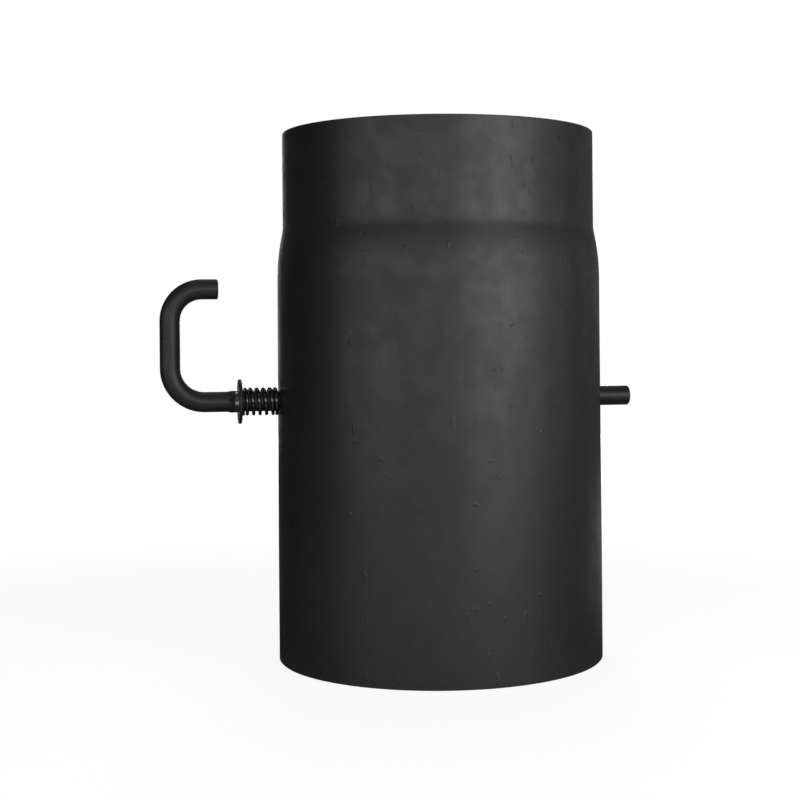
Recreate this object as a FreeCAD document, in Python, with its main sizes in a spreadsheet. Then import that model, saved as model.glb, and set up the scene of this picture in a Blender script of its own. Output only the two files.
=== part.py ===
"""Stove pipe damper: a flue pipe with a turning disc on a sprung handle rod.

Units are millimetres. The pipe stands on its open lower end, with the origin at the centre of that end
and +Z up the flue. The rod runs along X, with the bent handle at -X, and is at rest with the disc open.
"""

import FreeCAD
import Part

import math
import os

import Sketcher
from FreeCAD import Placement, Rotation, Vector

# Driving dimensions. Each one can be changed by itself.
DIMENSIONS = {
    # flue pipe, one piece of rolled and welded sheet
    "socket_bore": 151,  # inside diameter of the open lower end, which takes the next pipe's spigot
    "socket_length": 55,  # straight part of the lower end
    "pipe_wall": 2,  # sheet thickness
    "pipe_length": 250,  # end to end
    "body_draw": 0.3,  # how much the body's radius draws in between the socket and the shoulder
    "spigot_diameter": 149,  # outside diameter of the drawn-in upper end
    "spigot_length": 44,  # straight part of the upper end
    "shoulder_outer_radius": 100,  # rounding where the shoulder leaves the body
    "shoulder_inner_radius": 20,  # rounding where the shoulder meets the spigot
    "rim_chamfer": 0.35,  # deburred edges of both pipe ends
    "seam_width": 4,  # weld seam up the back
    "seam_rise": 0.35,  # height of the seam above the sheet
    "rod_height": 123.1,  # rod axis above the lower end
    "rod_play": 0.1,  # radial gap between the rod and its holes in the pipe
    # handle rod, one bent bar
    "rod_diameter": 9.5,
    "pin_reach": 17.6,  # free end of the rod beyond the pipe
    "handle_reach": 50.3,  # upright of the handle beyond the pipe, on its axis
    "handle_rise": 52.8,  # upper arm above the rod, axis to axis
    "handle_arm": 22.4,  # upright's axis to the free tip of the upper arm
    "lower_bend_radius": 16,  # on the axis of the bar
    "upper_bend_radius": 14.7,
    "tip_rounding": 0.9,  # edges of both ends of the bar
    "crimp_length": 5.2,  # squeezed stretch of bar that stops the washer
    "crimp_ramp": 2,  # length over which the squeezed-out ears rise
    "crimp_span": 10.3,  # height over the two ears
    "jaw_radius": 3.5,  # round nose of the crimping jaws, where their marks run out
    "jaw_depth": 2,  # depth of the marks beside the washer
    # washer and spring that pull the rod outwards
    "washer_diameter": 21,
    "washer_thickness": 1.5,
    "washer_play": 0.2,  # radial gap between the washer and the rod
    "washer_chamfer": 0.35,
    "spring_wire": 1.7,
    "spring_play": 0.25,  # radial gap between the spring and the rod
    "spring_length": 17.4,  # as fitted, between the washer and the pipe
    "spring_turns": 4,  # open turns between the two closed end turns
    "coil_gap": 0.1,  # gap between the wire of a closed end turn and the next turn
    "seat_gap": 0.05,  # gap where one piece bears on another
    # damper disc
    "disc_gap": 2.2,  # radial gap between the disc and the bore
    "disc_thickness": 2,
    "draught_gap": 14.5,  # opening left along each straight side of the closed disc
    "disc_edge_gap": 0.3,  # gap between the bore and the edge of the disc that bears on it
    "disc_corner_radius": 4,  # the four corners where the straight sides meet the round ends
    "disc_chamfer": 0.3,  # deburred edges of the disc
    # two bolts and nuts that hold the disc on the rod
    "bolt_spacing": 84,
    "bolt_diameter": 5,
    "bolt_play": 0.25,  # radial gap between a bolt and its holes
    "bolt_overhang": 1.6,  # bolt end beyond the nut
    "hex_width": 8,  # across flats, of heads and nuts
    "head_height": 3.5,
    "nut_height": 4,
    "nut_play": 0.05,  # radial gap between a nut and its bolt
    "nut_seat_depth": 0.8,  # flat filed on the rod under each nut
    "nut_seat_length": 11,
    "corner_chamfer": 0.4,  # turned corners of heads and nuts, along the axis
}

# Sizes that follow from the driving dimensions, so that pieces which meet share one value.
FITS = {
    # pipe
    "socket_radius": "dims.socket_bore / 2",
    "outer_radius": "socket_radius + dims.pipe_wall",
    "neck_outer_radius": "outer_radius - dims.body_draw",
    "neck_bore_radius": "socket_radius - dims.body_draw",
    "spigot_radius": "dims.spigot_diameter / 2",
    "spigot_bore_radius": "spigot_radius - dims.pipe_wall",
    "shoulder_step": "neck_outer_radius - spigot_radius",
    "shoulder_radii": "dims.shoulder_outer_radius + dims.shoulder_inner_radius",
    "shoulder_height": "sqrt(shoulder_step * (2 * shoulder_radii - shoulder_step))",
    "spigot_start": "dims.pipe_length - dims.spigot_length",
    "body_top": "spigot_start - shoulder_height",
    "drawn_length": "body_top - dims.socket_length",
    "draw_at_rod": "dims.body_draw * (dims.rod_height - dims.socket_length) / drawn_length",
    "rod_outer_radius": "outer_radius - draw_at_rod",
    "rod_bore_radius": "socket_radius - draw_at_rod",
    "bore_outer_arc": "dims.shoulder_outer_radius - dims.pipe_wall",
    "bore_inner_arc": "dims.shoulder_inner_radius + dims.pipe_wall",
    "bore_overrun": "dims.pipe_wall",
    "bore_top": "dims.pipe_length + bore_overrun",
    "seam_start": "2 * dims.rim_chamfer",
    "seam_curve": "(pow(dims.seam_width / 2; 2) + pow(dims.seam_rise; 2)) / (2 * dims.seam_rise)",
    "seam_foot_radius": "outer_radius - dims.pipe_wall / 2",
    "seam_neck_radius": "neck_outer_radius - dims.pipe_wall / 2",
    "seam_depth": "dims.seam_rise + dims.pipe_wall / 2",
    # rod
    "rod_radius": "dims.rod_diameter / 2",
    "rod_hole_radius": "rod_radius + dims.rod_play",
    "pin_end": "outer_radius + dims.pin_reach",
    "handle_line": "outer_radius + dims.handle_reach",
    "handle_tip": "handle_line - dims.handle_arm",
    "crimp_face": "washer_outer_face + dims.seat_gap",
    "crimp_end": "crimp_face + dims.crimp_length",
    "ear_start": "crimp_end - dims.crimp_ramp",
    "ear_radius": "dims.crimp_span / 2",
    "jaw_line": "rod_radius + dims.jaw_radius",
    "jaw_slope": "dims.jaw_depth / dims.crimp_length",
    "jaw_start": "crimp_end + dims.crimp_ramp",
    "jaw_start_radius": "dims.jaw_radius - jaw_slope * dims.crimp_ramp",
    "jaw_end_radius": "dims.jaw_radius + dims.jaw_depth",
    # washer and spring
    "spring_seat": "rod_outer_radius + dims.seat_gap",
    "spring_start": "spring_seat + dims.spring_length",
    "washer_inner_face": "spring_start + dims.seat_gap",
    "washer_outer_face": "washer_inner_face + dims.washer_thickness",
    "washer_radius": "dims.washer_diameter / 2",
    "washer_bore_radius": "rod_radius + dims.washer_play",
    "wire_radius": "dims.spring_wire / 2",
    "spring_radius": "rod_radius + dims.spring_play + wire_radius",
    "end_pitch": "dims.spring_wire + dims.coil_gap",
    "end_lean": "atan(end_pitch / (4 * spring_radius))",
    "end_radius": "sqrt(pow(spring_radius; 2) + pow(end_pitch / 4; 2))",
    "open_halves": "round(2 * dims.spring_turns)",
    "open_pitch": "2 * (dims.spring_length - dims.spring_wire - 2 * end_pitch) / open_halves",
    "open_lean": "atan(open_pitch / (4 * spring_radius))",
    "open_radius": "sqrt(pow(spring_radius; 2) + pow(open_pitch / 4; 2))",
    # disc
    "disc_radius": "rod_bore_radius - dims.disc_gap",
    "disc_half_width": "rod_bore_radius - dims.draught_gap",
    "disc_front": "rod_radius + dims.seat_gap",
    "disc_back": "disc_front + dims.disc_thickness",
    "disc_reach": "sqrt(pow(rod_bore_radius; 2) - pow(disc_back; 2)) - dims.disc_edge_gap",
    "disc_shift": "disc_reach - disc_radius",
    # bolts and nuts
    "bolt_radius": "dims.bolt_diameter / 2",
    "bolt_hole_radius": "bolt_radius + dims.bolt_play",
    "bolt_offset": "dims.bolt_spacing / 2",
    "head_seat": "disc_back + dims.seat_gap",
    "nut_flat": "rod_radius - dims.nut_seat_depth",
    "nut_seat": "nut_flat + dims.seat_gap",
    "bolt_length": "head_seat + nut_seat + dims.nut_height + dims.bolt_overhang",
    "nut_bore_radius": "bolt_radius + dims.nut_play",
    "hex_radius": "dims.hex_width / sqrt(3)",
    "hex_end_radius": "hex_radius - dims.corner_chamfer * sqrt(3)",
}

# Points of the sketcher's own geometry and of lines and arcs.
ORIGIN = (-1, 1)
START, END, CENTRE = 1, 2, 3
ACROSS, UPRIGHT = -1, -2  # the sketch's own two axes

doc = FreeCAD.newDocument("stove_pipe_damper")


def fill_sheet(name, rows):
    """A spreadsheet with one named cell for each row."""
    sheet = doc.addObject("Spreadsheet::Sheet", name)
    for number, (alias, content) in enumerate(rows.items(), start=1):
        sheet.set(f"A{number}", alias)
        sheet.set(f"B{number}", content)
        sheet.setAlias(f"B{number}", alias)
    doc.recompute()
    return sheet


dims = fill_sheet("dims", {alias: str(value) for alias, value in DIMENSIONS.items()})
fits = fill_sheet("fits", {alias: "=" + formula for alias, formula in FITS.items()})


def cell(alias):
    """The expression that reads a named cell."""
    return f"dims.{alias}" if alias in DIMENSIONS else f"fits.{alias}"


def size(alias):
    """The present value of a named cell."""
    return float(getattr(dims if alias in DIMENSIONS else fits, alias))


# Helpers for bodies and sketches


def new_body(label):
    body = doc.addObject("PartDesign::Body", label)
    body.Label = label
    return body


def place(piece, x=None, y=None, z=None, rotation=Rotation()):
    """Puts a piece at named places, each an expression, with a fixed rotation."""
    piece.Placement = Placement(Vector(), rotation)
    for axis, expression in (("x", x), ("y", y), ("z", z)):
        if expression:
            piece.setExpression(f"Placement.Base.{axis}", expression)


def new_sketch(body, name, role, height=None):
    """A sketch on one of the body's own planes, moved along that plane's normal by an expression."""
    sketch = body.newObject("Sketcher::SketchObject", name)
    support = next(f for f in body.Origin.OriginFeatures if f.Role == role)
    sketch.AttachmentSupport = [(support, "")]
    sketch.MapMode = "FlatFace"
    if height:
        sketch.setExpression("AttachmentOffset.Base.z", height)
    return sketch


def line(sketch, start, end):
    return sketch.addGeometry(Part.LineSegment(Vector(*start, 0), Vector(*end, 0)), False)


def arc(sketch, centre, radius, first, last):
    """A counter-clockwise arc between two angles in degrees."""
    circle = Part.Circle(Vector(*centre, 0), Vector(0, 0, 1), radius)
    return sketch.addGeometry(Part.ArcOfCircle(circle, math.radians(first), math.radians(last)), False)


def circle(sketch, centre, radius):
    """A full circle whose radius follows a named cell."""
    ring = sketch.addGeometry(Part.Circle(Vector(*centre, 0), Vector(0, 0, 1), size(radius)), False)
    measure(sketch, "Radius", (ring,), radius)
    return ring


def relate(sketch, kind, *parts):
    sketch.addConstraint(Sketcher.Constraint(kind, *parts))


def measure(sketch, kind, parts, alias):
    """A dimension of the sketch that follows a named cell."""
    index = sketch.addConstraint(Sketcher.Constraint(kind, *parts, size(alias)))
    label = f"{alias}_{index}"
    sketch.renameConstraint(index, label)
    sketch.setExpression(f"Constraints.{label}", cell(alias))


def fix_point(sketch, point, across=None, up=None, signs=(1, 1)):
    """Fixes a point at named distances from the sketch's origin, on the side that the signs give."""
    for kind, alias, sign in (("DistanceX", across, signs[0]), ("DistanceY", up, signs[1])):
        if alias:
            ends = (*ORIGIN, *point) if sign > 0 else (*point, *ORIGIN)
            measure(sketch, kind, ends, alias)


def polygon(sketch, points):
    """A closed outline of straight lines."""
    lines = [line(sketch, start, end) for start, end in zip(points, points[1:] + points[:1])]
    for current, following in zip(lines, lines[1:] + lines[:1]):
        relate(sketch, "Coincident", current, END, following, START)
    return lines


def feature(body, kind, name, sketch, **settings):
    made = body.newObject(f"PartDesign::{kind}", name)
    made.Profile = sketch
    for setting, value in settings.items():
        setattr(made, setting, value)
    return made


def pad(body, name, sketch, length):
    made = feature(body, "Pad", name, sketch)
    made.setExpression("Length", cell(length))
    return made


def cut_through(body, name, sketch):
    """Cuts a sketch through the whole piece, to both sides of its plane."""
    return feature(body, "Pocket", name, sketch, Type="ThroughAll", SideType="Symmetric")


def dress_edges(body, kind, name, base, amount, chosen):
    """Rounds (Fillet) or breaks (Chamfer) those edges of a feature that the test chooses."""
    doc.recompute()
    edges = [f"Edge{i}" for i, edge in enumerate(base.Shape.Edges, start=1) if chosen(edge)]
    dressed = body.newObject(f"PartDesign::{kind}", name)
    dressed.Base = (base, edges)
    dressed.setExpression("Radius" if kind == "Fillet" else "Size", cell(amount))
    return dressed


def is_ring(edge, axis, places):
    """Whether an edge is a circle about an axis direction, with its centre at one of the places along it."""
    if not isinstance(edge.Curve, Part.Circle) or abs(edge.Curve.Axis.dot(axis)) < 1 - 1e-9:
        return False
    return any(abs(edge.Curve.Center.dot(axis) - spot) < 1e-6 for spot in places)


def is_level(edge):
    """Whether an edge lies in a plane square to Y, such as a face of the disc."""
    return edge.BoundBox.YLength < 1e-6


# Flue pipe


def pipe_profile(body, name, foot, top, radii, arcs):
    """Half section of the pipe from its axis to one skin: socket, drawn body, S-shaped shoulder, spigot."""
    sketch = new_sketch(body, name, "XZ_Plane")
    socket, neck, spigot = (size(alias) for alias in radii)
    outer_arc, inner_arc = (size(alias) for alias in arcs)
    low = -size(foot) if foot else 0.0
    high = size(top)
    straight_end = size("socket_length")
    spigot_start = size("spigot_start")
    turn = math.acos(1 - (neck - spigot) / (outer_arc + inner_arc))
    neck_top = spigot_start - (outer_arc + inner_arc) * math.sin(turn)
    swing = math.degrees(turn)

    floor = line(sketch, (0, low), (socket, low))
    socket_wall = line(sketch, (socket, low), (socket, straight_end))
    body_wall = line(sketch, (socket, straight_end), (neck, neck_top))
    shoulder = arc(sketch, (neck - outer_arc, neck_top), outer_arc, 0, swing)
    throat = arc(sketch, (spigot + inner_arc, spigot_start), inner_arc, 180, 180 + swing)
    spigot_wall = line(sketch, (spigot, spigot_start), (spigot, high))
    roof = line(sketch, (spigot, high), (0, high))
    axis = line(sketch, (0, high), (0, low))

    relate(sketch, "Coincident", floor, END, socket_wall, START)
    relate(sketch, "Coincident", socket_wall, END, body_wall, START)
    relate(sketch, "Tangent", body_wall, END, shoulder, START)
    relate(sketch, "Tangent", shoulder, END, throat, END)
    relate(sketch, "Tangent", throat, START, spigot_wall, START)
    relate(sketch, "Coincident", spigot_wall, END, roof, START)
    relate(sketch, "Coincident", roof, END, axis, START)
    relate(sketch, "Coincident", axis, END, floor, START)
    relate(sketch, "Horizontal", floor)
    relate(sketch, "Horizontal", roof)
    relate(sketch, "Vertical", socket_wall)
    relate(sketch, "Vertical", spigot_wall)
    relate(sketch, "PointOnObject", axis, START, UPRIGHT)
    if foot:
        relate(sketch, "PointOnObject", axis, END, UPRIGHT)
        fix_point(sketch, (floor, START), up=foot, signs=(1, -1))
    else:
        relate(sketch, "Coincident", floor, START, *ORIGIN)
    fix_point(sketch, (floor, END), across=radii[0])
    fix_point(sketch, (socket_wall, END), up="socket_length")
    fix_point(sketch, (body_wall, END), across=radii[1])
    fix_point(sketch, (spigot_wall, START), across=radii[2], up="spigot_start")
    fix_point(sketch, (roof, END), up=top)
    measure(sketch, "Radius", (shoulder,), arcs[0])
    measure(sketch, "Radius", (throat,), arcs[1])
    return sketch


def seam_section(body, name, height, root):
    """Cross-section of the weld bead: a low arch whose flat foot is buried in the sheet."""
    sketch = new_sketch(body, name, "XY_Plane", cell(height))
    foot = size(root)
    curve = size("seam_curve")
    drop = curve - size("seam_depth")
    half = math.sqrt(curve * curve - drop * drop)
    lean = math.degrees(math.asin(half / curve))
    arch = arc(sketch, (0, foot - drop), curve, 90 - lean, 90 + lean)
    base = line(sketch, (-half, foot), (half, foot))
    relate(sketch, "Coincident", arch, END, base, START)
    relate(sketch, "Coincident", base, END, arch, START)
    relate(sketch, "Horizontal", base)
    relate(sketch, "PointOnObject", arch, CENTRE, UPRIGHT)
    measure(sketch, "Radius", (arch,), "seam_curve")
    fix_point(sketch, (base, END), up=root)
    crown = sketch.addGeometry(Part.Point(Vector(0, foot + size("seam_depth"), 0)), True)
    relate(sketch, "PointOnObject", crown, START, arch)
    relate(sketch, "PointOnObject", crown, START, UPRIGHT)
    measure(sketch, "DistanceY", (base, END, crown, START), "seam_depth")
    return sketch


def make_pipe_body():
    body = new_body("pipe_body")
    skin = pipe_profile(
        body, "outer_profile", None, "pipe_length",
        ("outer_radius", "neck_outer_radius", "spigot_radius"),
        ("shoulder_outer_radius", "shoulder_inner_radius"),
    )
    feature(body, "Revolution", "outer_form", skin, ReferenceAxis=(skin, ["V_Axis"]), Angle=360)

    bead_foot = seam_section(body, "seam_foot", "seam_start", "seam_foot_radius")
    bead_bend = seam_section(body, "seam_bend", "socket_length", "seam_foot_radius")
    bead_neck = seam_section(body, "seam_neck", "body_top", "seam_neck_radius")
    feature(body, "AdditiveLoft", "weld_seam", bead_foot, Sections=[bead_bend, bead_neck], Ruled=True)

    bore = pipe_profile(
        body, "bore_profile", "bore_overrun", "bore_top",
        ("socket_radius", "neck_bore_radius", "spigot_bore_radius"),
        ("bore_outer_arc", "bore_inner_arc"),
    )
    flue = feature(body, "Groove", "flue", bore, ReferenceAxis=(bore, ["V_Axis"]), Angle=360)

    ends = (0.0, size("pipe_length"))
    dress_edges(
        body, "Chamfer", "rims", flue, "rim_chamfer",
        lambda e: is_ring(e, Vector(0, 0, 1), ends),
    )

    holes = new_sketch(body, "rod_hole_sketch", "YZ_Plane")
    hole = circle(holes, (0, size("rod_height")), "rod_hole_radius")
    relate(holes, "PointOnObject", hole, CENTRE, UPRIGHT)
    fix_point(holes, (hole, CENTRE), up="rod_height")
    cut_through(body, "rod_holes", holes)
    place(body)
    return body


# Handle rod


def rod_path(body):
    """Axis of the bent bar: shaft, bend, upright, bend, upper arm."""
    sketch = new_sketch(body, "rod_path", "XZ_Plane")
    low, high = size("lower_bend_radius"), size("upper_bend_radius")
    left, top = -size("handle_line"), size("handle_rise")
    shaft = line(sketch, (size("pin_end"), 0), (left + low, 0))
    low_bend = arc(sketch, (left + low, low), low, 180, 270)
    upright = line(sketch, (left, low), (left, top - high))
    high_bend = arc(sketch, (left + high, top - high), high, 90, 180)
    arm = line(sketch, (left + high, top), (-size("handle_tip"), top))
    relate(sketch, "Tangent", shaft, END, low_bend, END)
    relate(sketch, "Tangent", low_bend, START, upright, START)
    relate(sketch, "Tangent", upright, END, high_bend, END)
    relate(sketch, "Tangent", high_bend, START, arm, START)
    relate(sketch, "PointOnObject", shaft, START, ACROSS)
    relate(sketch, "Horizontal", shaft)
    relate(sketch, "Vertical", upright)
    relate(sketch, "Horizontal", arm)
    measure(sketch, "Radius", (low_bend,), "lower_bend_radius")
    measure(sketch, "Radius", (high_bend,), "upper_bend_radius")
    fix_point(sketch, (shaft, START), across="pin_end")
    fix_point(sketch, (upright, START), across="handle_line", signs=(-1, 1))
    fix_point(sketch, (arm, END), across="handle_tip", up="handle_rise", signs=(-1, 1))
    return sketch


def crimp_ears(body):
    """Half section of the swelling that the squeezed bar makes above and below: a short ramp, then level."""
    sketch = new_sketch(body, "crimp_flare", "XZ_Plane")
    back, start, face = -size("crimp_end"), -size("ear_start"), -size("crimp_face")
    high, low = size("ear_radius"), size("rod_radius")
    points = [(back, 0), (face, 0), (face, high), (start, high), (back, low)]
    axis, front, ear, ramp, heel = polygon(sketch, points)
    relate(sketch, "PointOnObject", axis, START, ACROSS)
    relate(sketch, "PointOnObject", axis, END, ACROSS)
    relate(sketch, "Vertical", front)
    relate(sketch, "Vertical", heel)
    relate(sketch, "Horizontal", ear)
    fix_point(sketch, (ear, START), across="crimp_face", up="ear_radius", signs=(-1, 1))
    fix_point(sketch, (ear, END), across="ear_start", signs=(-1, 1))
    fix_point(sketch, (ramp, END), across="crimp_end", up="rod_radius", signs=(-1, 1))
    return feature(body, "Revolution", "crimp_ears", sketch, ReferenceAxis=(sketch, ["H_Axis"]), Angle=360)


def crimp_mark(body, side, sign):
    """The tapering hollow that one crimping jaw pressed into the bar, deepest beside the washer."""
    sketch = new_sketch(body, f"{side}_jaw_section", "XY_Plane")
    sketch.setExpression("AttachmentOffset.Base.y", sign + cell("jaw_line"))
    back, face = -size("jaw_start"), -size("crimp_face")
    points = [(back, 0), (face, 0), (face, size("jaw_end_radius")), (back, size("jaw_start_radius"))]
    axis, front, slope, heel = polygon(sketch, points)
    relate(sketch, "PointOnObject", axis, START, ACROSS)
    relate(sketch, "PointOnObject", axis, END, ACROSS)
    relate(sketch, "Vertical", front)
    relate(sketch, "Vertical", heel)
    fix_point(sketch, (slope, START), across="crimp_face", up="jaw_end_radius", signs=(-1, 1))
    fix_point(sketch, (slope, END), across="jaw_start", up="jaw_start_radius", signs=(-1, 1))
    return feature(body, "Groove", f"{side}_jaw_mark", sketch, ReferenceAxis=(sketch, ["H_Axis"]), Angle=360)


def bolt_holes(body):
    """Two holes across the rod's axis for the disc's bolts."""
    sketch = new_sketch(body, "bolt_hole_sketch", "XZ_Plane")
    for side in (-1, 1):
        hole = circle(sketch, (side * size("bolt_offset"), 0), "bolt_hole_radius")
        relate(sketch, "PointOnObject", hole, CENTRE, ACROSS)
        fix_point(sketch, (hole, CENTRE), across="bolt_offset", signs=(side, 1))
    return cut_through(body, "bolt_holes", sketch)


def nut_flats(body):
    """Flats filed on the front of the rod, one under each nut."""
    sketch = new_sketch(body, "nut_flat_sketch", "XY_Plane")
    half = size("nut_seat_length") / 2
    for side in (-1, 1):
        middle = side * size("bolt_offset")
        points = [(middle - half, -size("nut_flat")), (middle + half, -size("nut_flat")),
                  (middle + half, -size("rod_diameter")), (middle - half, -size("rod_diameter"))]
        flat, right, outside, left = polygon(sketch, points)
        relate(sketch, "Horizontal", flat)
        relate(sketch, "Horizontal", outside)
        relate(sketch, "Vertical", right)
        relate(sketch, "Vertical", left)
        mark = sketch.addGeometry(Part.Point(Vector(middle, -size("nut_flat"), 0)), True)
        relate(sketch, "Symmetric", flat, START, flat, END, mark, START)
        fix_point(sketch, (mark, START), across="bolt_offset", up="nut_flat", signs=(side, -1))
        measure(sketch, "DistanceX", (flat, START, flat, END), "nut_seat_length")
        fix_point(sketch, (outside, START), up="rod_diameter", signs=(1, -1))
    return cut_through(body, "nut_flats", sketch)


def make_handle_rod():
    body = new_body("handle_rod")
    path = rod_path(body)
    section = new_sketch(body, "rod_section", "YZ_Plane", cell("pin_end"))
    ring = circle(section, (0, 0), "rod_radius")
    relate(section, "Coincident", ring, CENTRE, *ORIGIN)
    bar = feature(body, "AdditivePipe", "bent_bar", section, Spine=(path, []))

    tips = (size("pin_end"), -size("handle_tip"))
    dress_edges(
        body, "Fillet", "tips", bar, "tip_rounding",
        lambda e: is_ring(e, Vector(1, 0, 0), tips),
    )
    crimp_ears(body)
    crimp_mark(body, "front", "-")
    crimp_mark(body, "back", "")
    bolt_holes(body)
    nut_flats(body)
    place(body, z=cell("rod_height"))
    return body


# Washer and spring


def make_retaining_washer():
    body = new_body("retaining_washer")
    sketch = new_sketch(body, "washer_face", "YZ_Plane")
    for radius in ("washer_radius", "washer_bore_radius"):
        ring = circle(sketch, (0, 0), radius)
        relate(sketch, "Coincident", ring, CENTRE, *ORIGIN)
    plate = pad(body, "washer_plate", sketch, "washer_thickness")
    faces = (0.0, size("washer_thickness"))
    middle = (size("washer_radius") + size("washer_bore_radius")) / 2
    dress_edges(
        body, "Chamfer", "washer_edges", plate, "washer_chamfer",
        lambda e: is_ring(e, Vector(1, 0, 0), faces) and e.Curve.Radius > middle,
    )
    place(body, x="-" + cell("washer_outer_face"), z=cell("rod_height"))
    return body


def half_turn(body, number, turn, height):
    """Half a turn of wire: half a ring, leaning so that its two ends lie half a pitch apart."""
    falls = number % 2 == 0
    sketch = new_sketch(body, f"wire_section_{number + 1}", "XZ_Plane")
    sketch.AttachmentOffset = Placement(Vector(), Rotation(Vector(0, 0, 1), size(f"{turn}_lean")))
    sketch.setExpression("AttachmentOffset.Base.y", height)
    sketch.setExpression("AttachmentOffset.Rotation.Angle", ("-" if falls else "") + cell(f"{turn}_lean"))
    ring = circle(sketch, (size(f"{turn}_radius"), 0), "wire_radius")
    relate(sketch, "PointOnObject", ring, CENTRE, ACROSS)
    fix_point(sketch, (ring, CENTRE), across=f"{turn}_radius")
    feature(
        body, "Revolution", f"half_turn_{number + 1}", sketch,
        ReferenceAxis=(sketch, ["V_Axis"]), Angle=180, Reversed=not falls,
    )


def make_rod_spring():
    """Compression spring up its own Z axis: a closed turn, the open turns, and a closed turn."""
    body = new_body("rod_spring")
    start = cell("wire_radius")
    number = 0
    for turn, halves in (("end", 2), ("open", round(size("open_halves"))), ("end", 2)):
        pitch = cell(f"{turn}_pitch")
        for half in range(halves):
            half_turn(body, number, turn, f"{start} + {half / 2 + 0.25} * {pitch}")
            number += 1
        start = f"{start} + {halves / 2} * {pitch}"
    place(body, x="-" + cell("spring_start"), z=cell("rod_height"), rotation=Rotation(Vector(0, 1, 0), 90))
    return body


# Damper disc


def make_damper_disc():
    body = new_body("damper_disc")
    sketch = new_sketch(body, "disc_outline", "XZ_Plane", "-" + cell("disc_back"))
    radius, half, shift = size("disc_radius"), size("disc_half_width"), size("disc_shift")
    reach = math.sqrt(radius * radius - half * half)
    lean = math.degrees(math.asin(half / radius))
    right = arc(sketch, (-shift, 0), radius, -lean, lean)
    top = line(sketch, (reach - shift, half), (-reach - shift, half))
    left = arc(sketch, (-shift, 0), radius, 180 - lean, 180 + lean)
    bottom = line(sketch, (-reach - shift, -half), (reach - shift, -half))
    outline = (right, top, left, bottom)
    for current, following in zip(outline, outline[1:] + outline[:1]):
        relate(sketch, "Coincident", current, END, following, START)
    relate(sketch, "Coincident", right, CENTRE, left, CENTRE)
    relate(sketch, "Equal", right, left)
    relate(sketch, "PointOnObject", right, CENTRE, ACROSS)
    relate(sketch, "Horizontal", top)
    relate(sketch, "Horizontal", bottom)
    fix_point(sketch, (right, CENTRE), across="disc_shift", signs=(-1, 1))
    measure(sketch, "Radius", (right,), "disc_radius")
    fix_point(sketch, (top, START), up="disc_half_width")
    fix_point(sketch, (bottom, START), up="disc_half_width", signs=(1, -1))
    plate = pad(body, "disc_plate", sketch, "disc_thickness")
    corners = dress_edges(
        body, "Fillet", "disc_corners", plate, "disc_corner_radius",
        lambda e: not is_level(e),
    )
    dress_edges(body, "Chamfer", "disc_edges", corners, "disc_chamfer", is_level)
    bolt_holes(body)
    place(body, z=cell("rod_height"))
    return body


# Bolts and nuts


def solid(kind, name, **expressions):
    """A primitive whose sizes follow expressions."""
    made = doc.addObject(f"Part::{kind}", name)
    for setting, expression in expressions.items():
        made.setExpression(setting.replace("__", "."), expression)
    return made


def join(kind, label, base, tool):
    made = doc.addObject(f"Part::{kind}", label)
    made.Base = base
    made.Tool = tool
    made.Label = label
    return made


def hexagon(name, height):
    """A hexagonal prism with its upper corners turned off at 30 degrees."""
    prism = solid("Prism", f"{name}_prism", Circumradius=cell("hex_radius"), Height=cell(height))
    prism.Polygon = 6
    turned = solid(
        "Cone", f"{name}_turning",
        Radius1=f"{cell('hex_end_radius')} + {cell(height)} * sqrt(3)",
        Radius2=cell("hex_end_radius"), Height=cell(height),
    )
    return join("Common", f"{name}_hexagon", prism, turned)


def make_disc_bolt(side, sign):
    name = f"disc_bolt_{side}"
    head = hexagon(name, "head_height")
    shank = solid(
        "Cylinder", f"{name}_shank", Radius=cell("bolt_radius"),
        Height=f"{cell('bolt_length')} + {cell('head_height')} / 2",
        Placement__Base__z="-" + cell("bolt_length"),
    )
    bolt = join("Fuse", name, head, shank)
    place(bolt, x=sign + cell("bolt_offset"), y=cell("head_seat"), z=cell("rod_height"),
          rotation=Rotation(Vector(1, 0, 0), -90))
    return bolt


def make_disc_nut(side, sign):
    name = f"disc_nut_{side}"
    blank = hexagon(name, "nut_height")
    bore = solid("Cylinder", f"{name}_bore", Radius=cell("nut_bore_radius"), Height=cell("nut_height"))
    nut = join("Cut", name, blank, bore)
    place(nut, x=sign + cell("bolt_offset"), y="-" + cell("nut_seat"), z=cell("rod_height"),
          rotation=Rotation(Vector(1, 0, 0), 90))
    return nut


# Assembly

pieces = [
    make_pipe_body(),
    make_handle_rod(),
    make_retaining_washer(),
    make_rod_spring(),
    make_damper_disc(),
]
for side, sign in (("left", "-"), ("right", "")):
    pieces.append(make_disc_bolt(side, sign))
    pieces.append(make_disc_nut(side, sign))
doc.recompute()

for item in doc.Objects:
    if "Invalid" in item.State or "Error" in item.State:
        raise RuntimeError(f"{item.Label} could not be built: {item.State}")
for piece in pieces:
    if piece.Shape.isNull() or not piece.Shape.isValid() or len(piece.Shape.Solids) != 1:
        raise RuntimeError(f"{piece.Label} is not one valid solid")

os.makedirs("parts", exist_ok=True)
for piece in pieces:
    piece.Shape.exportStep(os.path.join("parts", f"{piece.Label}.step"))
    print(f"{piece.Label}: {piece.Shape.Volume / 1000:.2f} cm3, box {piece.Shape.BoundBox}")
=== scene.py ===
"""Looks of the stove pipe damper: heat paint, spring wire, threaded bolts, studio light and camera.

Lengths are metres in the frame's own axes. The pipe stands on its open lower end with +Z up the flue, and the
rod runs along X with its handle at -X.
"""

import math
from typing import NamedTuple

import bmesh
import bpy
from mathutils import Matrix, Vector


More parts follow.
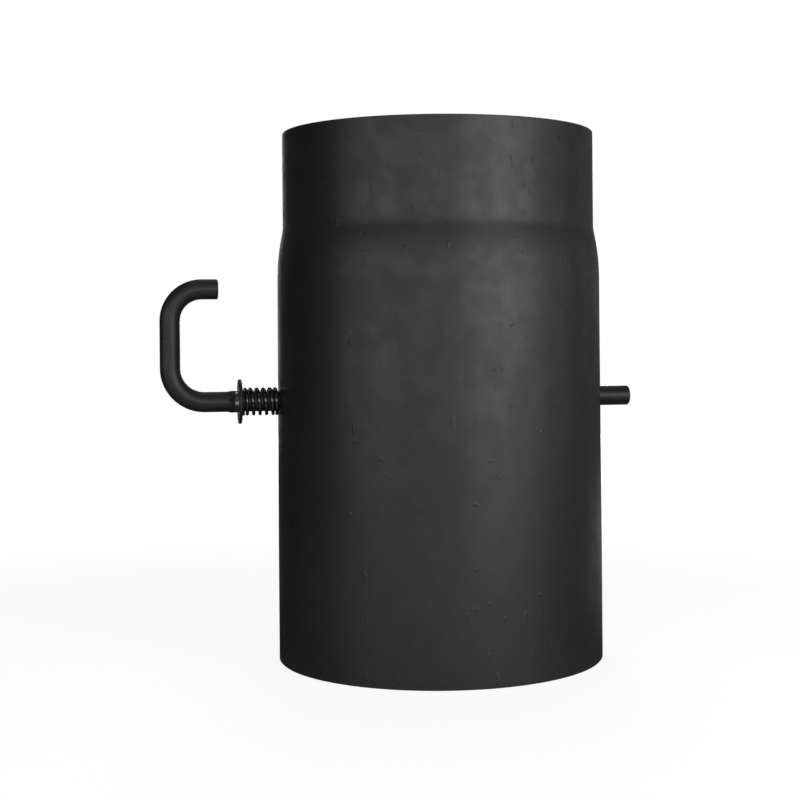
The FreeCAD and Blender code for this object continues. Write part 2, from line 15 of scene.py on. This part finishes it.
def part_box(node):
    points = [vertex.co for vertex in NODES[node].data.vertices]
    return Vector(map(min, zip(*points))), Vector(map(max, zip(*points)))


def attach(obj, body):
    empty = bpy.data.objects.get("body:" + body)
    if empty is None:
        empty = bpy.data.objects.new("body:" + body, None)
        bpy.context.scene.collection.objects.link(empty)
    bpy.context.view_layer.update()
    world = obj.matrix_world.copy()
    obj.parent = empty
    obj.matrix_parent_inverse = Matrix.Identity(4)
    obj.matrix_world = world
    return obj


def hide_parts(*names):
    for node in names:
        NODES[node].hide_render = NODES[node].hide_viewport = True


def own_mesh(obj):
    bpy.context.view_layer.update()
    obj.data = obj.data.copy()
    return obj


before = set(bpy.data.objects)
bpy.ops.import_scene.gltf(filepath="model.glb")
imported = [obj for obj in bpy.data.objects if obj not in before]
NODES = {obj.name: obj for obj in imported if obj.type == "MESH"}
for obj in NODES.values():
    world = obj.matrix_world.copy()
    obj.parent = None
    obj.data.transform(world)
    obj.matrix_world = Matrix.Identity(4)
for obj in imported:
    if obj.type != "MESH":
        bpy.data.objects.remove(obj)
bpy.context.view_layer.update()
SCENE = bpy.context.scene
MM = 0.001

# Camera: level and close, tilted slightly in its own plane
CAMERA_AZIMUTH = -11.28  # degrees from the square view of the rod, towards its handle
CAMERA_DISTANCE = 0.7413  # from the pipe's axis
CAMERA_HEIGHT = 0.1565
CAMERA_ROLL = 0.45
CAMERA_SENSOR = 36  # mm
CAMERA_LENS = 69.15  # mm
CAMERA_SHIFT = (-0.0483, -0.0888)  # puts the pipe right of the middle and below the horizon
CAMERA_NEAR = 0.01

# Every azimuth below is in degrees from the camera's side.
# Softboxes on an arc round the object: watts at each azimuth
LIGHT_DISTANCE = 1.5
LIGHT_TARGET = Vector((0, 0, 0.13))
ARC_ELEVATION = 6
ARC_BOX = (0.45, 0.6)  # width and height
ARC_POWER = {-60: 1.4, -40: 2.2, -20: 1.75, 0: 2.1, 25: 3.75, 45: 4.55, 65: 2.9, 90: 0.9, 120: 0.15}
# Further softboxes: azimuth, elevation, width, height, watts
FURTHER_LIGHTS = {
    "high_key": (38, 30, 0.9, 0.5, 1.5),
    "high_fill": (-12, 30, 0.6, 0.5, 0.35),
    "back_left": (-164, 6, 0.45, 0.6, 1.0),
    "back_key": (180, 8, 0.6, 0.7, 6.0),
    "overhead": (180, 70, 0.8, 0.6, 1.6),
    "high_front": (-5, 52, 0.6, 0.5, 0.8),
}

# The room as the paint mirrors it, with pale ground behind: azimuth, cosine at its edge, strength
ROOM_STRENGTH = 0.02
PALE_GROUND = ((135, 0.2, 0.13), (180, 0.55, 0.1))
PALE_RISE = 0.16  # height of a unit ray above which the pale ground is dimmed in full
PALE_DIMMED = 0.6
# The white table as the paint mirrors it: azimuth, distance, radius, strength
TABLE_PATCHES = (
    (0, 0.33, 0.36, 0.5),
    (-65, 0.38, 0.3, 0.2),
    (155, 0.55, 0.6, 0.3),
    (183, 0.45, 0.32, 0.25),
    (0, 0, 0.074, 1.0),  # seen through the pipe
)
TABLE_REST = 0.01
PATCH_CORE = 0.2  # share of a patch's radius at full strength
# The white table itself
FLOOR_HALF = 4
FLOOR_DROP = 0.2 * MM  # below the pipe's rim
FLOOR_BOUNCE = 0.06  # grey of the floor for light that it throws back on the object
FLOOR_SHOWN = 0.35  # grey of the floor that the camera sees in the lamps' light, shadow and all
FLOOR_GLOW_AND_PAINTED_SHADE = (0.86, 1.0)  # what the floor adds to that near the object and far off; the lower glow near the object is a painted shade round it
FLOOR_SPREAD = (0.25, 0.9)  # distances between which the glow rises out of the painted shade
WHITE = (1, 1, 1, 1)

# Pipe
PIPE_LENGTH = 0.25
FACING_IN = (-60 * MM, -30 * MM)  # distance from the axis, below zero on faces that look towards it
PAINT_ENDS = (25 * MM, 55 * MM)  # depth inside over which the paint gives out
PAINT_RAGGED = 30 * MM
RIM_WEAR = (0.3 * MM, 0.7 * MM)  # from the pipe's ends
SEAM_HALF_WIDTH = 2 * MM
SEAM_TOP = 0.2
SEAM_FADE = 4 * MM  # below its top
SEAM_BEHIND = 0.05  # the seam lies beyond this y
SEAM_RIPPLE = 1.5 * MM  # from one ripple of the weld to the next
SEAM_BOW = 300.0  # how strongly the ripples bow, per metre
SEAM_RELIEF = 0.07  # mm

# Paint film: points per metre
NIBS_PER_METRE = 105.0
MARKS_PER_METRE = 150.0
DRIFT_PER_METRE = 600.0
DRIFT = 2 * MM  # how far nibs and marks are bent out of shape
MARK_SQUEEZE = (1, 1, 0.3)  # makes the marks upright

# Rod, where the washer bears on it: rubbed bare there, and brightened as a painted highlight
RUBBED_AND_HIGHLIGHT_WIDTH = (1.9 * MM, 2.4 * MM)  # to either side of the washer's face
RUBBED_AND_HIGHLIGHT_RAGGED = 1.2 * MM
RUBBED_AND_HIGHLIGHT_REACH = (5.3 * MM, 5.6 * MM)  # from the middle of that face

# Spring: a closed turn at each end and open turns between them
SPRING_WIRE = 1.7 * MM
SPRING_OPEN_TURNS = 4
SPRING_END_PITCH = 1.8 * MM
SPRING_STEPS = 40  # round each turn
SPRING_SIDES = 20  # round the wire

# Bolts of the disc
THREAD_PITCH = 0.8 * MM
THREAD_LENGTH = 7.2 * MM
THREAD_CREST = 2.47 * MM
THREAD_ROOT = 2.05 * MM
THREAD_POINT = THREAD_ROOT - 0.15 * MM  # radius at the tip
THREAD_SPARE = 2  # turns at each end that are cut off
THREAD_STEPS = 28  # round each turn
HEAD_HEIGHT = 3.5 * MM
HEAD_RADIUS = 8 * MM / math.sqrt(3)  # to the corners of the hexagon
HEAD_CHAMFER = 0.45 * MM
HEAD_RIM = 0.5 * MM  # round the dished top
HEAD_DISH = 0.25 * MM  # depth of the dished top
SHARP_ANGLE = math.radians(20)


class Finish(NamedTuple):
    """Greys or colours at the two ends of a finish's clouds of tone, the roughness there, and its shine."""

    tones: tuple
    roughness: tuple
    specular: float = 0.5


HEAT_PAINT = Finish((0.0135, 0.0205), (0.43, 0.35), 0.4)
ROD_PAINT = Finish((0.015, 0.021), (0.44, 0.38), 0.33)
SPRING_BLACK = Finish((0.003, 0.008), (0.1, 0.05), 0.95)
DISC_PAINT = Finish((0.018, 0.028), (0.58, 0.44), 0.4)
PHOSPHATE = Finish(((0.11, 0.112, 0.12), (0.24, 0.235, 0.225)), (0.5, 0.33))
# What shows through the paint
BARE_TONES = ((0.10, 0.102, 0.108), (0.24, 0.235, 0.225))
BARE_ROUGHNESS = 0.5
# Bare steel where the washer rubs, made bright and glossy as a painted highlight beside the washer
RUBBED_AND_HIGHLIGHT_TONE = 0.35
RUBBED_AND_HIGHLIGHT_ROUGHNESS = 0.2
WORN_RIM_TONE = 0.05
DISC_SCALE_TONE = (0.05, 0.052, 0.057)


# Node trees


def add(tree, kind, inputs=None, **settings):
    """A node with its own settings, and with each input set to a value or linked to a socket."""
    made = tree.nodes.new(f"ShaderNode{kind}")
    for name, value in settings.items():
        setattr(made, name, value)
    for name, value in (inputs or {}).items():
        if isinstance(value, bpy.types.NodeSocket):
            tree.links.new(value, made.inputs[name])
        else:
            made.inputs[name].default_value = value
    return made


def math_node(tree, operation, first, second=0.0):
    """Result of one sum on numbers or sockets."""
    return add(tree, "Math", {0: first, 1: second}, operation=operation).outputs[0]


def plus(tree, first, *others):
    """Sum of numbers and sockets."""
    for other in others:
        first = math_node(tree, "ADD", first, other)
    return first


def times(tree, first, *others):
    """Product of numbers and sockets."""
    for other in others:
        first = math_node(tree, "MULTIPLY", first, other)
    return first


def vector_node(tree, operation, *inputs, result="Vector"):
    """Result of one sum on vectors."""
    return add(tree, "VectorMath", dict(enumerate(inputs)), operation=operation).outputs[result]


def ramp(tree, value, low, high, start=0.0, end=1.0):
    """A value smoothly mapped from the range low to high onto start to end, and held outside it."""
    return add(
        tree, "MapRange",
        {"Value": value, "From Min": low, "From Max": high, "To Min": start, "To Max": end},
        interpolation_type="SMOOTHSTEP",
    ).outputs["Result"]


def noise(tree, vector, size, detail=2.0, roughness=0.5, result="Fac"):
    """Noise whose features are about the given size in metres."""
    return add(
        tree, "TexNoise",
        {"Vector": vector, "Scale": 1 / size, "Detail": detail, "Roughness": roughness},
    ).outputs[result]


def spots(tree, vector, per_metre, core, edge):
    """1 at random points and 0 away from them, with core and edge as shares of their spacing."""
    nearest = add(tree, "TexVoronoi", {"Vector": vector, "Scale": per_metre}).outputs["Distance"]
    return ramp(tree, nearest, core, edge, 1, 0)


def object_point(tree):
    return add(tree, "TexCoord").outputs["Object"]


def stretched(tree, vector, scale):
    return add(tree, "Mapping", {"Vector": vector, "Scale": scale}).outputs["Vector"]


def new_group(name, inputs, outputs):
    """A shader node group with named float inputs (with their defaults) and named outputs."""
    tree = bpy.data.node_groups.new(name, "ShaderNodeTree")
    for label, default in inputs.items():
        socket = tree.interface.new_socket(label, in_out="INPUT", socket_type="NodeSocketFloat")
        socket.default_value = default
    for label in outputs:
        tree.interface.new_socket(label, in_out="OUTPUT", socket_type="NodeSocketFloat")
    return tree, tree.nodes.new("NodeGroupInput").outputs


def close_group(tree, **results):
    """Links a group's named results to its outputs."""
    end = tree.nodes.new("NodeGroupOutput")
    for label, socket in results.items():
        tree.links.new(socket, end.inputs[label])
    return tree


def group_node(tree, group, **values):
    """Outputs of a node that uses a group with the given input values."""
    made = tree.nodes.new("ShaderNodeGroup")
    made.node_tree = group
    for label, value in values.items():
        made.inputs[label].default_value = value
    return made.outputs


def blend(tree, factor, first, second):
    """A colour between two, each given as a grey, three numbers or a socket.

    The Mix node's colour sockets share their names with others, so they go by number.
    """
    ends = {0: factor}
    for place, colour in ((6, first), (7, second)):
        if isinstance(colour, float):
            colour = (colour, colour, colour)
        ends[place] = (*colour, 1) if isinstance(colour, tuple) else colour
    return add(tree, "Mix", ends, data_type="RGBA").outputs[2]


# Finishes


def paint_film_group():
    """Sprayed heat paint: clouds of tone, fine grain, dust nibs under the film and short upright marks.

    Tone runs from 0 to 1, and Height is in millimetres.
    """
    tree, given = new_group("paint_film", {"Nib": 0.12, "Mark": 0.08, "Grain": 0.02}, ("Tone", "Height"))
    point = object_point(tree)
    broad = noise(tree, point, 38 * MM, 2)
    patchy = noise(tree, point, 9 * MM, 3, 0.6)
    grain = noise(tree, point, 0.6 * MM, 2)
    drift = noise(tree, point, 1 / DRIFT_PER_METRE, 1, result="Color")
    wander = vector_node(tree, "MULTIPLY_ADD", drift, (DRIFT, DRIFT, DRIFT), point)
    nib = spots(tree, wander, NIBS_PER_METRE, 0.02, 0.13)
    mark = spots(tree, stretched(tree, wander, MARK_SQUEEZE), MARKS_PER_METRE, 0.03, 0.16)
    mark = times(tree, mark, ramp(tree, broad, 0.38, 0.5))

    tone = plus(tree, times(tree, broad, 0.4), times(tree, patchy, 0.6))
    height = plus(
        tree, times(tree, nib, given["Nib"]), times(tree, mark, given["Mark"]),
        times(tree, grain, given["Grain"]),
    )
    return close_group(tree, Tone=ramp(tree, tone, 0.33, 0.67), Height=height)


def mill_scale_group():
    """Hot-rolled steel: blotches of scale, and fine streaks along the way that it was rolled.

    Tone runs from 0 to 1, and Height is in millimetres.
    """
    tree, given = new_group("mill_scale", {"Streak": 0.5}, ("Tone", "Height"))
    point = object_point(tree)
    blotch = noise(tree, point, 14 * MM, 4, 0.65)
    streak = noise(tree, stretched(tree, point, (0.06, 1, 1)), 1.2 * MM, 2)
    speck = noise(tree, point, 0.8 * MM, 1)
    tone = plus(tree, times(tree, math_node(tree, "SUBTRACT", streak, 0.5), given["Streak"]), blotch)
    height = times(tree, plus(tree, speck, blotch), 0.02)
    return close_group(tree, Tone=ramp(tree, tone, 0.3, 0.7), Height=height)


def new_material(name):
    """A material with only its output and a Principled shader, its tree, and the shader's inputs."""
    material = bpy.data.materials.new(name)
    material.use_nodes = True
    tree = material.node_tree
    return material, tree, tree.nodes["Principled BSDF"].inputs


def surface(tree, shader, colour, roughness, specular, height):
    """Sets a shader's colour, roughness, shine and relief, whose height is in millimetres."""
    tree.links.new(colour, shader["Base Color"])
    tree.links.new(roughness, shader["Roughness"])
    shader["Specular IOR Level"].default_value = specular
    relief = add(tree, "Bump", {"Strength": 1.0, "Distance": MM, "Height": height})
    tree.links.new(relief.outputs["Normal"], shader["Normal"])


def weld_ripple(tree, x, y, z):
    """Ripples along the weld seam at the back of the pipe, in millimetres."""
    bowed = plus(tree, z, times(tree, x, x, SEAM_BOW))
    wave = math_node(tree, "SINE", times(tree, bowed, 2 * math.pi / SEAM_RIPPLE))
    beside = math_node(tree, "ABSOLUTE", x)
    across = ramp(tree, beside, 0.6 * SEAM_HALF_WIDTH, 1.1 * SEAM_HALF_WIDTH, SEAM_RELIEF, 0)
    along = ramp(tree, z, SEAM_TOP - SEAM_FADE, SEAM_TOP, 1, 0)
    behind = math_node(tree, "GREATER_THAN", y, SEAM_BEHIND)
    return times(tree, wave, times(tree, across, along, behind))


def heat_paint(film, scale):
    """Black heat paint outside the pipe and a little way in at both ends, with bare scale further in."""
    material, tree, shader = new_material("heat_paint")
    paint = group_node(tree, film, Nib=0.085, Mark=0.11, Grain=0.02)
    bare = group_node(tree, scale, Streak=0.1)
    place = add(tree, "TexCoord").outputs
    point = place["Object"]
    x, y, z = add(tree, "SeparateXYZ", {0: point}).outputs
    level = vector_node(tree, "MULTIPLY", point, (1, 1, 0))
    facing = vector_node(tree, "DOT_PRODUCT", place["Normal"], level, result="Value")
    inside = ramp(tree, facing, *FACING_IN, 1, 0)
    depth = math_node(tree, "MINIMUM", z, math_node(tree, "SUBTRACT", PIPE_LENGTH, z))
    ragged = times(tree, noise(tree, point, 12 * MM, 3), PAINT_RAGGED)
    unpainted = times(tree, inside, ramp(tree, plus(tree, depth, ragged), *PAINT_ENDS))

    scuff = ramp(tree, noise(tree, point, 5 * MM, 3), 0.4, 0.65)
    rim = times(tree, ramp(tree, depth, *RIM_WEAR, 1, 0), scuff)
    painted = blend(tree, rim, blend(tree, paint["Tone"], *HEAT_PAINT.tones), WORN_RIM_TONE)
    steel = blend(tree, bare["Tone"], *BARE_TONES)
    gloss = ramp(tree, paint["Tone"], 0, 1, *HEAT_PAINT.roughness)
    surface(
        tree, shader, blend(tree, unpainted, painted, steel),
        ramp(tree, unpainted, 0, 1, gloss, BARE_ROUGHNESS), HEAT_PAINT.specular,
        plus(tree, paint["Height"], weld_ripple(tree, x, y, z)),
    )
    tree.links.new(times(tree, unpainted, 0.6), shader["Metallic"])
    return material


def rod_paint(film):
    """Thin matt black on the rod and the washer, chipped, and rubbed bare where the washer bears, brightened
    there as a painted highlight.
    """
    material, tree, shader = new_material("rod_paint")
    paint = group_node(tree, film, Nib=0.05, Mark=0.03, Grain=0.015)
    point = object_point(tree)
    chip = ramp(tree, noise(tree, point, 2.5 * MM, 4, 0.7), 0.7, 0.74)
    low, high = (Vector(corner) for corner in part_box("retaining_washer"))
    bearing = vector_node(tree, "SUBTRACT", point, (low.x, 0, (low.z + high.z) / 2))
    beside = math_node(tree, "ABSOLUTE", add(tree, "SeparateXYZ", {0: bearing}).outputs["X"])
    uneven = times(tree, noise(tree, point, 1.5 * MM, 2), RUBBED_AND_HIGHLIGHT_RAGGED)
    away = vector_node(tree, "LENGTH", bearing, result="Value")
    # painted highlight: a bright, glossy ring round the rod beside the washer, where it is also rubbed bare
    rubbed_and_highlight = times(
        tree, ramp(tree, plus(tree, beside, uneven), *RUBBED_AND_HIGHLIGHT_WIDTH, 1, 0),
        ramp(tree, away, *RUBBED_AND_HIGHLIGHT_REACH, 1, 0),
    )
    bright = math_node(tree, "MAXIMUM", rubbed_and_highlight, times(tree, chip, 0.35))
    gloss = ramp(tree, paint["Tone"], 0, 1, *ROD_PAINT.roughness)
    surface(
        tree, shader, blend(tree, bright, blend(tree, paint["Tone"], *ROD_PAINT.tones), RUBBED_AND_HIGHLIGHT_TONE),
        ramp(tree, rubbed_and_highlight, 0, 1, gloss, RUBBED_AND_HIGHLIGHT_ROUGHNESS), ROD_PAINT.specular,
        math_node(tree, "SUBTRACT", paint["Height"], times(tree, bright, 0.03)),
    )
    tree.links.new(times(tree, rubbed_and_highlight, 0.9), shader["Metallic"])
    return material


def spring_steel(scale):
    """Oil-blackened spring wire, glossy, with faint drawing marks."""
    material, tree, shader = new_material("spring_steel")
    black = group_node(tree, scale, Streak=0.2)
    surface(
        tree, shader, blend(tree, black["Tone"], *SPRING_BLACK.tones),
        ramp(tree, black["Tone"], 0, 1, *SPRING_BLACK.roughness), SPRING_BLACK.specular,
        times(tree, black["Height"], 0.2),
    )
    return material


def disc_paint(film, scale):
    """Thin matt heat paint on the disc, through which the plate's scale shows in blotches."""
    material, tree, shader = new_material("disc_paint")
    paint = group_node(tree, film, Nib=0.1, Mark=0.0, Grain=0.03)
    plate = group_node(tree, scale, Streak=0.7)
    thin = ramp(tree, plate["Tone"], 0.55, 1.0)
    surface(
        tree, shader, blend(tree, thin, blend(tree, paint["Tone"], *DISC_PAINT.tones), DISC_SCALE_TONE),
        ramp(tree, plate["Tone"], 0, 1, *DISC_PAINT.roughness), DISC_PAINT.specular,
        plus(tree, paint["Height"], plate["Height"]),
    )
    return material


def phosphated_steel(scale):
    """Dark phosphate coat of the bolts and nuts, oily and a little cloudy."""
    material, tree, shader = new_material("phosphated_steel")
    coat = group_node(tree, scale, Streak=0.3)
    surface(
        tree, shader, blend(tree, coat["Tone"], *PHOSPHATE.tones),
        ramp(tree, coat["Tone"], 0, 1, *PHOSPHATE.roughness), PHOSPHATE.specular,
        times(tree, coat["Height"], 0.5),
    )
    shader["Metallic"].default_value = 0.85
    return material


# Pieces


def new_piece(name, shape, material, body):
    """An object made from a finished bmesh, riding on a body."""
    mesh = bpy.data.meshes.new(name)
    shape.to_mesh(mesh)
    shape.free()
    mesh.shade_smooth()
    mesh.materials.append(material)
    piece = bpy.data.objects.new(name, mesh)
    SCENE.collection.objects.link(piece)
    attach(piece, body)
    return piece


def spring_coil(material):
    """The spring as one round wire: a closed turn, the open turns, and a closed turn."""
    low, high = (Vector(corner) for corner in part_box("rod_spring"))
    wire = SPRING_WIRE / 2
    centre = Vector((0, 0, (low.z + high.z) / 2))
    open_pitch = (high.x - low.x - SPRING_WIRE - 2 * SPRING_END_PITCH) / SPRING_OPEN_TURNS
    shape = bmesh.new()
    stand = Matrix.Translation((low.x + wire, 0, low.z + wire)) @ Matrix.Rotation(math.pi / 2, 4, "X")
    ring = bmesh.ops.create_circle(
        shape, segments=SPRING_SIDES, radius=wire, cap_ends=True, matrix=stand,
    )["verts"]
    front = ring + list({edge for vert in ring for edge in vert.link_edges})
    front += list({face for vert in ring for face in vert.link_faces})
    for turns, pitch in ((1, SPRING_END_PITCH), (SPRING_OPEN_TURNS, open_pitch), (1, SPRING_END_PITCH)):
        front = bmesh.ops.spin(
            shape, geom=front, cent=centre, axis=(1, 0, 0), dvec=(pitch / SPRING_STEPS, 0, 0),
            angle=2 * math.pi * turns, steps=turns * SPRING_STEPS,
        )["geom_last"]
    bmesh.ops.recalc_face_normals(shape, faces=shape.faces)
    coil = new_piece("spring_coil", shape, material, "pipe")
    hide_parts("rod_spring")
    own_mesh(coil)


def open_edges(shape, low, high):
    """Edges of the open loops between two heights."""
    return [edge for edge in shape.edges if edge.is_boundary and low < edge.verts[0].co.z < high]


def only_verts(geometry):
    return [part for part in geometry if isinstance(part, bmesh.types.BMVert)]


def cut_level(shape, height, keep_above):
    """Cuts the shape off square at a height."""
    bmesh.ops.bisect_plane(
        shape, geom=shape.verts[:] + shape.edges[:] + shape.faces[:],
        plane_co=(0, 0, height), plane_no=(0, 0, 1), clear_inner=keep_above, clear_outer=not keep_above,
    )


def threaded_shank(length):
    """Bolt shank up its own Z: a rolled thread with a pointed start, then plain wire, open at its top."""
    shape = bmesh.new()
    flat = THREAD_PITCH / 8
    half = THREAD_PITCH / 2
    profile = (
        (THREAD_CREST, 0), (THREAD_CREST, flat), (THREAD_ROOT, half), (THREAD_ROOT, half + flat),
        (THREAD_CREST, THREAD_PITCH),
    )
    start = -THREAD_SPARE * THREAD_PITCH
    outline = [shape.verts.new((radius, 0, start + height)) for radius, height in profile]
    edges = [shape.edges.new(pair) for pair in zip(outline, outline[1:])]
    turns = round(THREAD_LENGTH / THREAD_PITCH) + 2 * THREAD_SPARE
    bmesh.ops.spin(
        shape, geom=outline + edges, cent=(0, 0, 0), axis=(0, 0, 1),
        dvec=(0, 0, THREAD_PITCH / THREAD_STEPS), angle=2 * math.pi * turns, steps=turns * THREAD_STEPS,
    )
    cut_level(shape, 0, True)
    cut_level(shape, THREAD_LENGTH, False)
    bmesh.ops.remove_doubles(shape, verts=shape.verts, dist=THREAD_PITCH / 100)
    for vert in shape.verts:
        most = THREAD_POINT + vert.co.z
        radius = vert.co.xy.length
        if radius > most:
            vert.co.xy *= most / radius
    bmesh.ops.holes_fill(shape, edges=open_edges(shape, -length, THREAD_LENGTH / 2))
    risen = bmesh.ops.extrude_edge_only(shape, edges=open_edges(shape, THREAD_LENGTH / 2, length))["geom"]
    for vert in only_verts(risen):
        vert.co.z = length
    return shape


def bolt_head(shape, seat):
    """Hexagon head with turned corners and a dished top, joined to the open top of a shank."""
    stand = Matrix.Translation((0, 0, seat)) @ Matrix.Rotation(math.radians(30), 4, "Z")
    neck = open_edges(shape, seat / 2, 2 * seat)
    ring = bmesh.ops.create_circle(shape, segments=6, radius=HEAD_RADIUS, matrix=stand)["verts"]
    foot = list({edge for vert in ring for edge in vert.link_edges})
    bmesh.ops.triangle_fill(shape, edges=neck + foot, use_beauty=True, normal=(0, 0, -1))
    raised = bmesh.ops.extrude_edge_only(shape, edges=foot)["geom"]
    bmesh.ops.translate(shape, verts=only_verts(raised), vec=(0, 0, HEAD_HEIGHT))
    crown = bmesh.ops.contextual_create(shape, geom=open_edges(shape, seat, 2 * seat))["faces"][0]
    bmesh.ops.bevel(
        shape, geom=crown.edges[:], offset=HEAD_CHAMFER, affect="EDGES", segments=1, profile=0.5, material=-1,
    )
    crown = max(shape.faces, key=lambda face: face.calc_center_median().z)
    bmesh.ops.inset_region(shape, faces=[crown], thickness=HEAD_RIM, depth=-HEAD_DISH, use_even_offset=True)


def threaded_bolt(node, material):
    """One bolt of the disc, its head behind the disc and its thread through the nut."""
    low, high = (Vector(corner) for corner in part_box(node))
    seat = high.y - HEAD_HEIGHT - low.y
    shape = threaded_shank(seat)
    bolt_head(shape, seat)
    lay = Matrix.Translation(((low.x + high.x) / 2, low.y, (low.z + high.z) / 2))
    bmesh.ops.transform(shape, matrix=lay @ Matrix.Rotation(-math.pi / 2, 4, "X"), verts=shape.verts)
    bmesh.ops.recalc_face_normals(shape, faces=shape.faces)
    bolt = new_piece(f"threaded_{node}", shape, material, "damper")
    bolt.data.set_sharp_from_angle(angle=SHARP_ANGLE)
    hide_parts(node)


def dress():
    """Gives every node its finish, and builds the pieces that stand in for plain solids."""
    film = paint_film_group()
    scale = mill_scale_group()
    satin = rod_paint(film)
    phosphate = phosphated_steel(scale)
    finishes = {
        "pipe_body": heat_paint(film, scale),
        "handle_rod": satin,
        "retaining_washer": satin,
        "damper_disc": disc_paint(film, scale),
        "disc_nut_left": phosphate,
        "disc_nut_right": phosphate,
    }
    for name, finish in finishes.items():
        NODES[name].data.materials.clear()
        NODES[name].data.materials.append(finish)
    spring_coil(spring_steel(scale))
    for node in ("disc_bolt_left", "disc_bolt_right"):
        threaded_bolt(node, phosphate)


# Stage


def outward(azimuth, elevation=0.0):
    """Unit vector away from the pipe's axis, its azimuth counted from the camera's side."""
    turn = math.radians(CAMERA_AZIMUTH + azimuth)
    lift = math.radians(elevation)
    return Vector((math.sin(turn) * math.cos(lift), -math.cos(turn) * math.cos(lift), math.sin(lift)))


def aim(position, target):
    """Rotation that points an object's -Z at a target with its Y up."""
    return (target - position).to_track_quat("-Z", "Y")


def softbox(name, azimuth, elevation, width, height, power):
    """A rectangular lamp that the camera doesn't see, aimed at the object."""
    lamp = bpy.data.lights.new(name, "AREA")
    lamp.shape = "RECTANGLE"
    lamp.size = width
    lamp.size_y = height
    lamp.energy = power
    holder = bpy.data.objects.new(name, lamp)
    holder.location = LIGHT_TARGET + LIGHT_DISTANCE * outward(azimuth, elevation)
    holder.rotation_mode = "QUATERNION"
    holder.rotation_quaternion = aim(holder.location, LIGHT_TARGET)
    holder.visible_camera = False
    SCENE.collection.objects.link(holder)


def studio_lights():
    for azimuth, power in ARC_POWER.items():
        softbox(f"arc_{azimuth}", azimuth, ARC_ELEVATION, *ARC_BOX, power)
    for name, values in FURTHER_LIGHTS.items():
        softbox(name, *values)


def seen_white(tree):
    """1 for rays that show table and room as plain white: the camera's own, and those let through."""
    path = add(tree, "LightPath").outputs
    return math_node(tree, "MAXIMUM", path["Is Camera Ray"], path["Is Transmission Ray"])


def mirrored_only(tree, strength):
    """A strength that only glossy rays see."""
    return times(tree, add(tree, "LightPath").outputs["Is Glossy Ray"], strength)


def white_floor():
    """The table: white to the camera with a soft shadow, cast by the lamps and deepened by a painted shade
    near the object; pale in patches where the paint mirrors it.
    """
    mesh = bpy.data.meshes.new("floor")
    shape = bmesh.new()
    bmesh.ops.create_grid(shape, x_segments=1, y_segments=1, size=FLOOR_HALF)
    shape.to_mesh(mesh)
    shape.free()
    floor = bpy.data.objects.new("floor", mesh)
    floor.location.z = -FLOOR_DROP
    SCENE.collection.objects.link(floor)
    material, tree, shader = new_material("floor_white")
    floor.data.materials.append(material)
    seen = seen_white(tree)
    tree.links.new(blend(tree, seen, FLOOR_BOUNCE, FLOOR_SHOWN), shader["Base Color"])
    shader["Roughness"].default_value = 0.9
    shader["Specular IOR Level"].default_value = 0
    point = object_point(tree)
    away = vector_node(tree, "LENGTH", point, result="Value")
    # painted shade: the floor glows less near the object, which darkens it round the pipe beyond its cast
    # shadow
    glow_and_painted_shade = times(tree, seen, ramp(tree, away, *FLOOR_SPREAD, *FLOOR_GLOW_AND_PAINTED_SHADE))
    mirrored = TABLE_REST
    for azimuth, distance, radius, strength in TABLE_PATCHES:
        beside = vector_node(tree, "DISTANCE", point, distance * outward(azimuth), result="Value")
        mirrored = plus(tree, mirrored, ramp(tree, beside, PATCH_CORE * radius, radius, strength, 0))
    tree.links.new(plus(tree, glow_and_painted_shade, mirrored_only(tree, mirrored)), shader["Emission Strength"])
    shader["Emission Color"].default_value = WHITE


def studio_world():
    """White to the camera, and a dim room for the object, with pale ground behind that its paint mirrors."""
    world = bpy.data.worlds.new("studio")
    SCENE.world = world
    world.use_nodes = True
    tree = world.node_tree
    room = tree.nodes["Background"]
    room.inputs["Color"].default_value = WHITE
    ray = add(tree, "TexCoord").outputs["Generated"]
    rise = add(tree, "SeparateXYZ", {0: ray}).outputs["Z"]
    pale = 0.0
    for azimuth, edge, strength in PALE_GROUND:
        facing = vector_node(tree, "DOT_PRODUCT", ray, outward(azimuth), result="Value")
        pale = plus(tree, pale, ramp(tree, facing, edge, 1.0, 0, strength))
    dimmed = times(tree, pale, ramp(tree, rise, 0.0, PALE_RISE, 1, PALE_DIMMED))
    tree.links.new(plus(tree, mirrored_only(tree, dimmed), ROOM_STRENGTH), room.inputs["Strength"])
    white = add(tree, "Background", {"Color": WHITE, "Strength": 1.0})
    mix = add(tree, "MixShader", {"Fac": seen_white(tree), 1: room.outputs[0], 2: white.outputs[0]})
    tree.links.new(mix.outputs[0], tree.nodes["World Output"].inputs["Surface"])


def photo_camera():
    """The camera, looking level at the pipe's axis."""
    lens = bpy.data.cameras.new("camera")
    lens.lens = CAMERA_LENS
    lens.sensor_width = CAMERA_SENSOR
    lens.shift_x, lens.shift_y = CAMERA_SHIFT
    lens.clip_start = CAMERA_NEAR
    camera = bpy.data.objects.new("camera", lens)
    middle = Vector((0, 0, CAMERA_HEIGHT))
    camera.location = middle + CAMERA_DISTANCE * outward(0)
    camera.rotation_mode = "QUATERNION"
    roll = Matrix.Rotation(-math.radians(CAMERA_ROLL), 4, "Z").to_quaternion()
    camera.rotation_quaternion = aim(camera.location, middle) @ roll
    SCENE.collection.objects.link(camera)
    SCENE.camera = camera


SCENE.view_settings.view_transform = "Standard"
dress()
studio_lights()
white_floor()
studio_world()
photo_camera()
